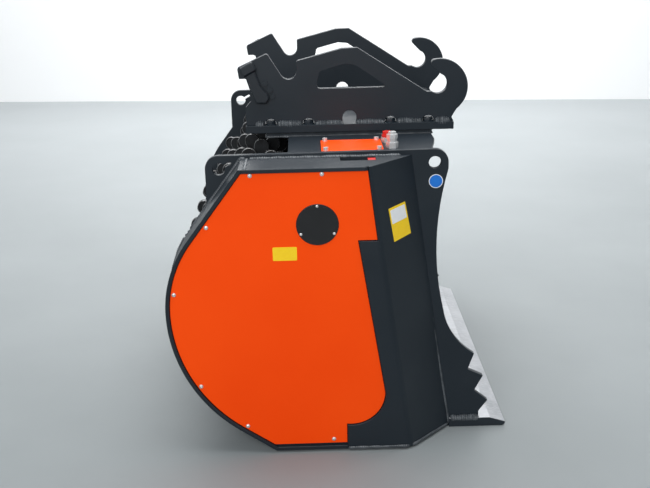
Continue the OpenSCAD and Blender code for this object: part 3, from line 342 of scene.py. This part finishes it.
# Plates and castings: copies with their sheared edges rounded, in place of the bare solids
edges = {
    "width": 0.0012, "castWidth": 0.004, "segments": 2, "sharp": math.radians(32), "shortest": 0.003,
    "flat": math.radians(0.4),
    "plates": ["side_plate_drive", "side_plate_free", "hitch_plate_drive", "hitch_plate_free", "hitch_base",
               "mounting_plate", "top_deck", "cutting_edge", "case_wall", "case_top", "case_bottom",
               "case_front", "motor_cover", "side_cover", "guard_cover", "guard_wall", "floor_shell",
               "rear_bar", "beam_channel", "badge_plate"],
    "castings": ["wedge_block_drive", "wedge_block_free"],
}


def setSmooth(mesh, smooth):
    mesh.polygons.foreach_set("use_smooth", np.full(len(mesh.polygons), smooth))


def mergedCopy(node, suffix, sharp, shortest):
    # joined and simplified copy; only edges that are sharp and long enough are marked to be rounded
    mesh = nodes[node].data.copy()
    bm = bmesh.new()
    bm.from_mesh(mesh)
    bmesh.ops.remove_doubles(bm, verts=bm.verts, dist=samePlace)
    bmesh.ops.dissolve_limit(bm, angle_limit=edges["flat"], verts=bm.verts, edges=bm.edges)
    mark = bm.edges.layers.float.new("bevel_weight_edge")
    for edge in bm.edges:
        fold = edge.calc_face_angle(0) if len(edge.link_faces) == 2 else 0
        edge[mark] = float(fold > sharp and edge.calc_length() > shortest)
    bm.to_mesh(mesh)
    bm.free()
    obj = bpy.data.objects.new(node + suffix, mesh)
    bpy.context.scene.collection.objects.link(obj)
    return obj


def roundEdges(obj, width):
    mod = obj.modifiers.new("edges", "BEVEL")
    mod.width = width
    mod.segments = edges["segments"]
    mod.limit_method = "WEIGHT"
    mod.use_clamp_overlap = False
    setSmooth(obj.data, True)
    obj.data.set_sharp_from_angle(angle=edges["sharp"])
    shade = obj.modifiers.new("shading", "WEIGHTED_NORMAL")  # large flat faces stay flat
    shade.keep_sharp = True


def softPlate(node, width):
    obj = mergedCopy(node, "_plate", edges["sharp"], edges["shortest"])
    roundEdges(obj, width)
    paint(obj, materials[nodeSlots[node]])
    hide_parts(node)
    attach(obj, root)
    return obj


for plate in edges["plates"]:
    softPlate(plate, edges["width"])
for casting in edges["castings"]:
    paint(softPlate(casting, edges["castWidth"]), castMaterial)
print("plates with rounded edges:", len(edges["plates"]))


# Rotors: dull discs whose rounded rims get a paler, fully metallic steel
rotors = {"count": 5, "width": 0.0012, "sharp": 1.0, "shortest": 0.0, "rimIndex": 1}


def brightRimRotor(node, p):
    obj = mergedCopy(node, "_brightRim", p["sharp"], p["shortest"])
    roundEdges(obj, p["width"])
    obj.modifiers["edges"].material = p["rimIndex"]
    paint(obj, materials["rotor_steel"])
    obj.data.materials.append(rimMaterial)
    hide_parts(node)
    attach(obj, node)


for index in range(1, rotors["count"] + 1):
    brightRimRotor("rotor_%d" % index, rotors)
print("rotors with worn rims:", rotors["count"])


# Meshes from rings of points
smoothUpTo = math.radians(40)  # sharper folds than this keep a hard edge


def ringFaces(count, around, start=0):
    # quads between each ring and the next, then a face over the first ring and one over the last
    i = np.arange(count - 1)[:, None] * around
    j = np.arange(around)[None, :]
    k = (j + 1) % around
    quads = np.stack([i + j, i + k, i + around + k, i + around + j], axis=-1).reshape(-1, 4) + start
    first = np.arange(around)[::-1] + start
    last = np.arange(around) + start + (count - 1) * around
    return quads.tolist() + [first.tolist(), last.tolist()]


def addMesh(name, verts, faces, mat, smooth=True):
    mesh = bpy.data.meshes.new(name)
    mesh.from_pydata(np.asarray(verts).tolist(), [], faces)
    bm = bmesh.new()
    bm.from_mesh(mesh)
    bmesh.ops.remove_doubles(bm, verts=bm.verts, dist=samePlace)
    bmesh.ops.recalc_face_normals(bm, faces=bm.faces)
    bm.to_mesh(mesh)
    bm.free()
    obj = bpy.data.objects.new(name, mesh)
    bpy.context.scene.collection.objects.link(obj)
    setSmooth(mesh, smooth)
    if smooth:
        mesh.set_sharp_from_angle(angle=smoothUpTo)
    paint(obj, mat)
    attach(obj, root)
    return obj


# Weld beads: a flat round section carried along a path, its size swelling in scallops
weld = {"step": 0.0016, "fewest": 8, "ripple": 0.0075, "swell": 0.24, "wander": 0.22, "wanderSpan": 14,
        "flatness": 0.62, "lift": 0.35, "tip": 0.02, "around": 10}
rng = np.random.default_rng(7)


def smoothNoise(count, span):  # random values joined by cosine curves, one new value per span
    knots = rng.uniform(-1, 1, count // span + 3)
    t = np.arange(count) / span
    i = t.astype(int)
    f = (1 - np.cos(np.pi * (t - i))) / 2
    return knots[i] * (1 - f) + knots[i + 1] * f


def bead(name, points, radius, up):
    # points joined by straight lines, cut into equal steps; section turned square to the path and flattened
    # away from the face; size = radius (1 + swell (|sin| scallop - 1/2) + wander noise), round at both ends
    points = np.array(points, float)
    lengths = np.linalg.norm(np.diff(points, axis=0), axis=1)
    total = lengths.sum()
    s = np.linspace(0, total, max(weld["fewest"], int(total / weld["step"])))
    marks = np.concatenate([[0], np.cumsum(lengths)])
    path = np.stack([np.interp(s, marks, points[:, k]) for k in range(3)], axis=1)
    along = np.gradient(path, axis=0)
    along /= np.linalg.norm(along, axis=1, keepdims=True)
    up = np.array(up, float) / np.linalg.norm(up)
    side = np.cross(along, up)
    side /= np.linalg.norm(side, axis=1, keepdims=True)
    scallop = np.abs(np.sin(np.pi * s / weld["ripple"]))
    wander = smoothNoise(len(s), weld["wanderSpan"])
    size = radius * (1 + weld["swell"] * (scallop - 0.5) + weld["wander"] * wander)
    ends = np.clip(np.minimum(s, total - s) / radius, weld["tip"], 1)
    size = size * np.sqrt(1 - (1 - ends) ** 2)
    a = np.linspace(0, 2 * np.pi, weld["around"], endpoint=False)
    across = size[:, None] * np.cos(a)
    lift = size * weld["swell"] * scallop * weld["lift"]
    above = weld["flatness"] * size[:, None] * np.sin(a) + lift[:, None]
    rings = path[:, None, :] + across[..., None] * side[:, None, :] + above[..., None] * up
    faces = ringFaces(len(s), weld["around"])
    return addMesh(name, rings.reshape(-1, 3), faces, weldMaterial)


def joinMeshes(name, objects):
    context = {"active_object": objects[0], "selected_editable_objects": objects}
    with bpy.context.temp_override(**context):
        bpy.ops.object.join()
    objects[0].name = name


# Leaning front of the case: its plane, and the label on it by corners in X and Z
bevel = {"lean": math.radians(8), "depth": nearY - outerY, "run": 0.144}


def bevelPoint(x, z):
    # the bevel is a plane: y falls from the side plate to the rim with u = x cos(lean) + z sin(lean)
    c, k = math.cos(bevel["lean"]), math.sin(bevel["lean"])
    full = caseFront[1][0] * c + caseFront[0][2] * k
    return np.array([x, nearY - (full - x * c - z * k) / (bevel["run"] * c) * bevel["depth"], z])


# Seams of the case: distances from the edges of the frame's boxes, but middle and startX are places
caseCurve = {"middle": np.array([-0.10, 0.48]), "reach": 0.40, "onFace": 1e-5, "sameAngle": 1e-3,
             "places": 4}
backSeam = {"radius": 0.005, "inset": 0.001, "up": (-0.3, -1, 0.2)}
topSeam = {"radius": 0.0075, "inset": 0.003, "rear": 0.012, "front": 0.02, "up": (0, 0, 1)}
frontSeam = {"radius": 0.0045, "inset": 0.002, "drop": 0.004, "up": (0.7, -0.7, 0)}
cornerSeam = {"radius": 0.005, "ahead": 0.004, "outer": 0.01, "inner": 0.006, "sink": 0.001,
              "up": (-0.4, 0, 1)}
footSeam = {"radius": 0.0055, "startX": 0.012, "rise": 0.003, "fold": 0.016, "front": 0.004, "proud": 0.001,
            "up": (0.5, -0.85, -0.1)}
lipSeam = {"radius": 0.011, "start": 0.004, "end": 0.102, "out": 0.004}


def wallCurve(y):
    # outer corners of the case wall's back curve, from its top end to its bottom end
    mesh = nodes["case_wall"].data
    co = np.empty(len(mesh.vertices) * 3)
    mesh.vertices.foreach_get("co", co)
    co = co.reshape(-1, 3)
    co = co[np.abs(co[:, 1] - y) < caseCurve["onFace"]]
    flat = co[:, [0, 2]] - caseCurve["middle"]
    angle = np.round(np.arctan2(flat[:, 1], -flat[:, 0]), caseCurve["places"])
    reach = np.hypot(flat[:, 0], flat[:, 1])
    order = np.lexsort((-reach, -angle))
    first = np.concatenate([[True], np.abs(np.diff(angle[order])) > caseCurve["sameAngle"]])
    outer, wide = co[order][first], reach[order][first]
    return outer[wide > caseCurve["reach"]]


def seamBeads():
    curve = wallCurve(outerY)
    start = curve[0][0]
    atPlate = curve.copy()
    atPlate[:, 1] = nearY - backSeam["inset"]
    made = [bead("seam_back", atPlate, backSeam["radius"], backSeam["up"])]

    y = nearY - topSeam["inset"]
    line = [(start + topSeam["rear"], y, topZ), (frontX - topSeam["front"], y, topZ)]
    made.append(bead("seam_top", line, topSeam["radius"], topSeam["up"]))

    y = nearY - frontSeam["inset"]
    line = [(frontX - frontSeam["inset"], y, topZ - frontSeam["drop"]),
            (caseFront[1][0], y, caseFront[0][2] + frontSeam["inset"])]
    made.append(bead("seam_front", line, frontSeam["radius"], frontSeam["up"]))

    x, z = start + cornerSeam["ahead"], topZ - cornerSeam["sink"]
    line = [(x, outerY + cornerSeam["outer"], z), (x, nearY - cornerSeam["inner"], z)]
    made.append(bead("seam_corner", line, cornerSeam["radius"], cornerSeam["up"]))

    z = caseFront[0][2] + footSeam["rise"]
    y = outerY - footSeam["proud"]
    fold = caseFront[1][0] - bevel["run"]
    line = [(footSeam["startX"], y, z), (fold - footSeam["fold"], y, z),
            bevelPoint(fold + footSeam["fold"], z), bevelPoint(caseFront[1][0] - footSeam["front"], z)]
    made.append(bead("seam_foot", line, footSeam["radius"], footSeam["up"]))

    x0, x1, z = lipBox[0][0] + lipSeam["start"], lipBox[0][0] + lipSeam["end"], lipBox[1][2]
    for face, out in ((nearY, -1), (farY, 1)):
        y = face + out * lipSeam["out"]
        made.append(bead("seam_lip", [(x0, y, z), (x1, y, z)], lipSeam["radius"], (0, out, 1)))
    joinMeshes("weld_seams_case", made)


# Seams of the hitch: they stop at each bolt and at the arch, in places measured from the base's middle
hitchSeam = {"radius": 0.0135, "out": 0.003, "rise": 0.001, "clear": 0.022, "rear": 0.01, "front": 0.06,
             "gaps": [-0.269, -0.140, 0, 0.140, 0.269]}


def hitchBeads():
    made = []
    z = baseBox[1][2] + hitchSeam["rise"]
    middle = (baseBox[0][0] + baseBox[1][0]) / 2
    stops = [middle + gap for gap in hitchSeam["gaps"]]
    starts = [x + hitchSeam["clear"] for x in [baseBox[0][0] + hitchSeam["rear"]] + stops]
    ends = [x - hitchSeam["clear"] for x in stops] + [hitchNear[1][0] - hitchSeam["front"]]
    for low, high in (hitchNear, hitchFar):
        for face, out in ((low[1], -1), (high[1], 1)):
            y = face + out * hitchSeam["out"]
            for x0, x1 in zip(starts, ends):
                made.append(bead("seam_hitch", [(x0, y, z), (x1, y, z)], hitchSeam["radius"], (0, out, 1)))
    joinMeshes("weld_seams_hitch", made)


# Seams of the deck: round the mounting plate at both its faces, and along both side plates
deckSeam = {"radius": 0.0048, "lean": 0.8, "out": 0.002, "rear": 0.01, "front": 0.05}


def deckBeads():
    made = []
    low, high = mountBox
    for z, up in ((low[2], 1), (baseBox[0][2], -1)):
        ring = [(low[0], low[1], z), (high[0], low[1], z), (high[0], high[1], z), (low[0], high[1], z)]
        for p, q, out in zip(ring, ring[1:] + ring[:1], ((0, -1), (1, 0), (0, 1), (-1, 0))):
            made.append(bead("seam_deck", [p, q], deckSeam["radius"], (*out, deckSeam["lean"] * up)))
    x0, x1, z = deckBox[0][0] + deckSeam["rear"], deckBox[1][0] - deckSeam["front"], deckBox[1][2]
    for face, out in ((drivePlate[1][1], 1), (freePlate[0][1], -1)):
        y = face + out * deckSeam["out"]
        made.append(bead("seam_deckside", [(x0, y, z), (x1, y, z)], deckSeam["radius"], (0, out, 1)))
    joinMeshes("weld_seams_deck", made)


seamBeads()
hitchBeads()
deckBeads()
print("welds laid")


# Screws and bolts: rings of a head, round or six-sided, set at every separate piece of a CAD node
def pieceBoxes(node):
    # lowest and highest corners of each piece: points that edges join end up with one label, the lowest
    mesh = nodes[node].data
    co = np.empty(len(mesh.vertices) * 3)
    mesh.vertices.foreach_get("co", co)
    co = co.reshape(-1, 3)
    pairs = np.empty(len(mesh.edges) * 2, dtype=np.int32)
    mesh.edges.foreach_get("vertices", pairs)
    same = np.unique(np.round(co / samePlace), axis=0, return_inverse=True)[1].reshape(-1)
    first, second = same[pairs.reshape(-1, 2)].T
    label = np.arange(same.max() + 1)
    settled = False
    while not settled:
        lowest = label.copy()
        np.minimum.at(lowest, first, label[second])
        np.minimum.at(lowest, second, label[first])
        settled = np.array_equal(lowest, label)
        label = lowest
    start, own = np.unique(label[same], return_index=True, return_inverse=True)[1:]
    low = np.full((len(start), 3), np.inf)
    high = np.full((len(start), 3), -np.inf)
    np.minimum.at(low, own.reshape(-1), co)
    np.maximum.at(high, own.reshape(-1), co)
    order = np.argsort(start)
    return low[order], high[order]


def roundRing(radius):
    return lambda angle: np.full_like(angle, radius)


def hexRing(flat):
    # distance from the middle of a hexagon to its side, for each angle
    return lambda angle: flat / 2 / np.cos(np.mod(angle + math.pi / 6, math.pi / 3) - math.pi / 6)


button = {"socketDepth": 0.75, "mouth": 0.0002, "firstStep": 0.18, "steps": 8, "socketCorner": 0.62,
          "dome": 0.98}


def buttonRings(p):
    # hexagon socket, domed head as a quarter ellipse, shank; heights are depths below the top
    socket = hexRing(p["socket"])
    rings = [(socket, p["height"] * button["socketDepth"]), (socket, button["mouth"])]
    turn = np.linspace(button["firstStep"], 1, button["steps"]) * math.pi / 2
    radius = p["head"] * np.sin(turn)
    depth = p["height"] * (1 - np.cos(turn)) * button["dome"]
    clear = radius > p["socket"] * button["socketCorner"]
    rings += [(roundRing(r), d) for r, d in zip(radius[clear], depth[clear])]
    rings += [(roundRing(p["head"]), p["height"]), (roundRing(p["shank"]), p["height"]),
              (roundRing(p["shank"]), p["depth"])]
    return rings


bolt = {"top": 0.46, "chamfer": 0.985, "chamferEnd": 0.14, "sideStart": 0.2, "washerStart": 0.8}


def boltRings(p):
    # flat top with a chamfer cone over the hexagon, washer under it; heights are depths below the top
    flat, height = p["head"], p["height"]
    washerAt = height * bolt["washerStart"]
    return [(roundRing(flat * bolt["top"]), 0),
            (hexRing(flat * bolt["chamfer"]), height * bolt["chamferEnd"]),
            (hexRing(flat), height * bolt["sideStart"]), (hexRing(flat), washerAt),
            (roundRing(p["washer"]), washerAt), (roundRing(p["washer"]), height),
            (roundRing(p["shank"]), height), (roundRing(p["shank"]), p["depth"])]


coverScrew = {"node": "cover_screws", "head": 0.007, "height": 0.0044, "socket": 0.005, "shank": 0.004,
              "depth": 0.018, "facing": "-y", "turn": 0.3}
badgeScrew = {"node": "badge_screws", "head": 0.0045, "height": 0.0024, "socket": 0.0028, "shank": 0.002,
              "depth": 0.011, "facing": "-y", "turn": 0.0}
guardScrew = {"node": "guard_screws", "head": 0.007, "height": 0.006, "socket": 0.005, "shank": 0.004,
              "depth": 0.04, "facing": "+y", "turn": 0.2}
hitchBolt = {"node": "hitch_bolts", "head": 0.03, "height": 0.013, "washer": 0.019, "shank": 0.01,
             "depth": 0.05, "facing": "+z", "turn": 0.2}
headAround = 48
headAxes = {  # across, up and inward for each way that a head can face
    "-y": np.array([(1, 0, 0), (0, 0, 1), (0, 1, 0)]),
    "+y": np.array([(-1, 0, 0), (0, 0, 1), (0, -1, 0)]),
    "+z": np.array([(1, 0, 0), (0, 1, 0), (0, 0, -1)]),
}


def headMesh(name, p, rings, slot):
    # a ring's point is x across and y up from the piece's middle, and its depth inward from the outer end
    node = p["node"]
    angle = np.linspace(0, 2 * np.pi, headAround, endpoint=False)
    radius = np.stack([ring(angle) for ring, depth in rings])
    depths = np.array([depth for ring, depth in rings])[:, None]
    x = radius * np.cos(angle + p["turn"])
    y = radius * np.sin(angle + p["turn"])
    across, up, inward = headAxes[p["facing"]]
    shape = x[..., None] * across + y[..., None] * up + depths[..., None] * inward
    low, high = pieceBoxes(node)
    outerEnd = (low + high) / 2 - (high - low) / 2 * inward
    verts = outerEnd[:, None, None, :] + shape
    each = len(rings) * headAround
    faces = []
    for number in range(len(low)):
        faces += ringFaces(len(rings), headAround, number * each)
    obj = addMesh(name, verts.reshape(-1, 3), faces, materials[slot])
    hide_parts(node)


headMesh("cover_screw_heads", coverScrew, buttonRings(coverScrew), "bright_steel")
headMesh("badge_screw_heads", badgeScrew, buttonRings(badgeScrew), "bright_steel")
headMesh("guard_screw_heads", guardScrew, buttonRings(guardScrew), "bright_steel")
headMesh("hitch_bolt_heads", hitchBolt, boltRings(hitchBolt), "black_steel")
print("screws and bolts made")


# Stickers and labels, bare: thin sheets with round corners, standing a hair off their face
sticker = {"thick": 0.0004, "gap": 0.0002, "cornerSteps": 5, "around": 48}
coverLabel = {"middle": (-0.1755, 0.6865), "size": (0.075, 0.044), "corner": 0.004}
eyeLabel = {"middle": (0.307, 0.868), "radius": 0.0225, "inner": 0.9}
bevelLabel = {"corners": [(0.1659, 0.7026), (0.2243, 0.7113), (0.2042, 0.8175), (0.1472, 0.8112)],
              "corner": 0.003, "paneShare": 0.86, "paneFoot": 0.45, "paneCorner": 0.002}


def roundedOutline(corners, radius):
    # each corner is a quadratic curve from one side to the next, pulled to the corner
    here = np.array(corners, float)
    before = np.roll(here, 1, axis=0) - here
    after = np.roll(here, -1, axis=0) - here
    a = here + before / np.linalg.norm(before, axis=1, keepdims=True) * radius
    b = here + after / np.linalg.norm(after, axis=1, keepdims=True) * radius
    t = np.linspace(0, 1, sticker["cornerSteps"])[None, :, None]
    curves = (1 - t) ** 2 * a[:, None] + 2 * t * (1 - t) * here[:, None] + t ** 2 * b[:, None]
    return curves.reshape(-1, 2)


def circleOutline(radius):
    a = np.linspace(0, 2 * np.pi, sticker["around"], endpoint=False)
    return np.stack([radius * np.cos(a), radius * np.sin(a)], axis=1)


def sheetPiece(name, outline, place, mat, lift=0.0):
    # outline is in the sheet's own plane; place is its middle, the ways across and up, and the way it faces
    origin, across, up, out = (np.array(v, float) for v in place)
    flat = origin + outline[:, :1] * across + outline[:, 1:] * up + out * (sticker["gap"] + lift)
    verts = np.concatenate([flat, flat + out * sticker["thick"]])
    addMesh(name, verts, ringFaces(2, len(outline)), mat, smooth=False)


def facePlace(middle, y):  # place of a sheet on a face of the drive side
    return (middle[0], y, middle[1]), (1, 0, 0), (0, 0, 1), (0, -1, 0)


def flatLabels():
    w, h = coverLabel["size"]
    corners = [(-w / 2, -h / 2), (w / 2, -h / 2), (w / 2, h / 2), (-w / 2, h / 2)]
    sheetPiece("cover_label", roundedOutline(corners, coverLabel["corner"]),
               facePlace(coverLabel["middle"], coverFace), filmMaterials["yellow"])
    place = facePlace(eyeLabel["middle"], nearY)
    sheetPiece("eye_label_rim", circleOutline(eyeLabel["radius"]), place,
               filmMaterials["white"])
    sheetPiece("eye_label", circleOutline(eyeLabel["radius"] * eyeLabel["inner"]), place,
               filmMaterials["blue"], lift=sticker["thick"])


def bevelLabelPiece():
    p = bevelLabel
    corners = np.array([bevelPoint(*c) for c in p["corners"]])
    low, right, high, left = corners
    origin = corners.mean(axis=0)
    across = (right - low) / np.linalg.norm(right - low)
    out = np.cross(across, left - low)
    out /= np.linalg.norm(out)
    up = np.cross(out, across)
    place = origin, across, up, out
    flat = (corners - origin) @ np.stack([across, up], axis=1)
    sheetPiece("bevel_label", roundedOutline(flat, p["corner"]), place,
               filmMaterials["yellow"])
    share, foot = p["paneShare"], p["paneFoot"]
    pane = [flat[0] * share + (flat[3] - flat[0]) * foot, flat[1] * share + (flat[2] - flat[1]) * foot,
            flat[2] * share, flat[3] * share]
    sheetPiece("bevel_label_pane", roundedOutline(pane, p["paneCorner"]), place,
               filmMaterials["white"], lift=sticker["thick"])


flatLabels()
bevelLabelPiece()
print("labels laid")


# Stage: a pale floor, a pale wall behind it and soft lamps
stage = {"floor": 16.0, "wallY": 5.9, "wallHeight": 6.0, "turn": 0.115}
stagePaint = {"cloudScale": 1.3, "cloud": (-0.07, 0.07), "rough": 0.55, "specular": 0.25}
# floor: the darker near colour is painted shade and the paler far colour painted light
floorPaint = {"name": "floorPaint", "near": (0.205, 0.225, 0.23), "far": (0.40, 0.425, 0.435),
              "reach": (-1.8, 5.0)}
wallPaint = {"name": "wallPaint", "near": (0.93, 0.935, 0.94), "far": (0.95, 0.95, 0.95), "reach": (4.5, 6.5)}
lamps = {
    "overhead": {"place": (0.2, 0.3, 4.2), "target": (0, 0, 0), "size": (4.5, 4.5), "power": 225},
    "front": {"place": (-1.2, -5.2, 3.0), "target": (0, 0, 0.6), "size": (3.0, 2.4), "power": 165},
    "wallWash": {"place": (0, 4.0, 4.6), "target": (0, 5.9, 1.5), "size": (6.0, 1.5), "power": 270},
}
sky = {"light": (0.88, 0.95, 1.0, 1), "level": 0.42, "seen": (1, 1, 1, 1), "seenLevel": 1.0}


def stageMaterial(p):
    # painted light and shade: a pale colour that grows paler from the camera's end to the far end, standing
    # in for light falling off towards the camera, with faint clouds
    mat, tree, shader, vector = startMaterial(p["name"])
    split = tree.nodes.new("ShaderNodeSeparateXYZ")
    tree.links.new(vector, split.inputs[0])
    way = addRange(tree, split.outputs["Y"], p["reach"], whole)
    cloud = addNoise(tree, vector, stagePaint["cloudScale"], detail["soil"])
    cloud = addRange(tree, cloud, noiseBand, stagePaint["cloud"])
    colour = addMix(tree, addMath(tree, "ADD", way, cloud), p["near"], p["far"])
    tree.links.new(colour, shader.inputs["Base Color"])
    shader.inputs["Roughness"].default_value = stagePaint["rough"]
    shader.inputs["Specular IOR Level"].default_value = stagePaint["specular"]
    return mat


def stagePlane(name, corners, mat):
    mesh = bpy.data.meshes.new(name)
    mesh.from_pydata(corners, [], [[0, 1, 2, 3]])
    obj = bpy.data.objects.new(name, mesh)
    bpy.context.scene.collection.objects.link(obj)
    paint(obj, mat)


def addStage(p):  # the wall is turned a little: its left end stands further back than its right end
    s, h = p["floor"] / 2, p["wallHeight"]
    left, right = p["wallY"] + s * p["turn"], p["wallY"] - s * p["turn"]
    stagePlane("floor", [(-s, -s, 0), (s, -s, 0), (s, left, 0), (-s, left, 0)], stageMaterial(floorPaint))
    stagePlane("wall", [(-s, left, 0), (s, right, 0), (s, right, h), (-s, left, h)], stageMaterial(wallPaint))


def addLamp(name, p):
    data = bpy.data.lights.new(name, "AREA")
    data.shape = "RECTANGLE"
    data.size, data.size_y = p["size"]
    data.energy = p["power"]
    obj = bpy.data.objects.new(name, data)
    aim = Vector(p["target"]) - Vector(p["place"])
    obj.matrix_world = Matrix.Translation(p["place"]) @ aim.to_track_quat("-Z", "Y").to_matrix().to_4x4()
    bpy.context.scene.collection.objects.link(obj)


def addWorld(p):  # the camera sees plain white, and the object is lit by a cooler, weaker light
    world = bpy.data.worlds.new("world")
    world.use_nodes = True
    tree = world.node_tree
    tree.nodes.clear()
    out = tree.nodes.new("ShaderNodeOutputWorld")
    soft = tree.nodes.new("ShaderNodeBackground")
    seen = tree.nodes.new("ShaderNodeBackground")
    soft.inputs[0].default_value = p["light"]
    soft.inputs[1].default_value = p["level"]
    seen.inputs[0].default_value = p["seen"]
    seen.inputs[1].default_value = p["seenLevel"]
    path = tree.nodes.new("ShaderNodeLightPath")
    mix = tree.nodes.new("ShaderNodeMixShader")
    tree.links.new(path.outputs["Is Camera Ray"], mix.inputs[0])
    tree.links.new(soft.outputs[0], mix.inputs[1])
    tree.links.new(seen.outputs[0], mix.inputs[2])
    tree.links.new(mix.outputs[0], out.inputs[0])
    bpy.context.scene.world = world


addStage(stage)
addWorld(sky)
for lampName, lamp in lamps.items():
    addLamp(lampName, lamp)
bpy.context.scene.view_settings.view_transform = "Standard"
print("stage and lamps set")
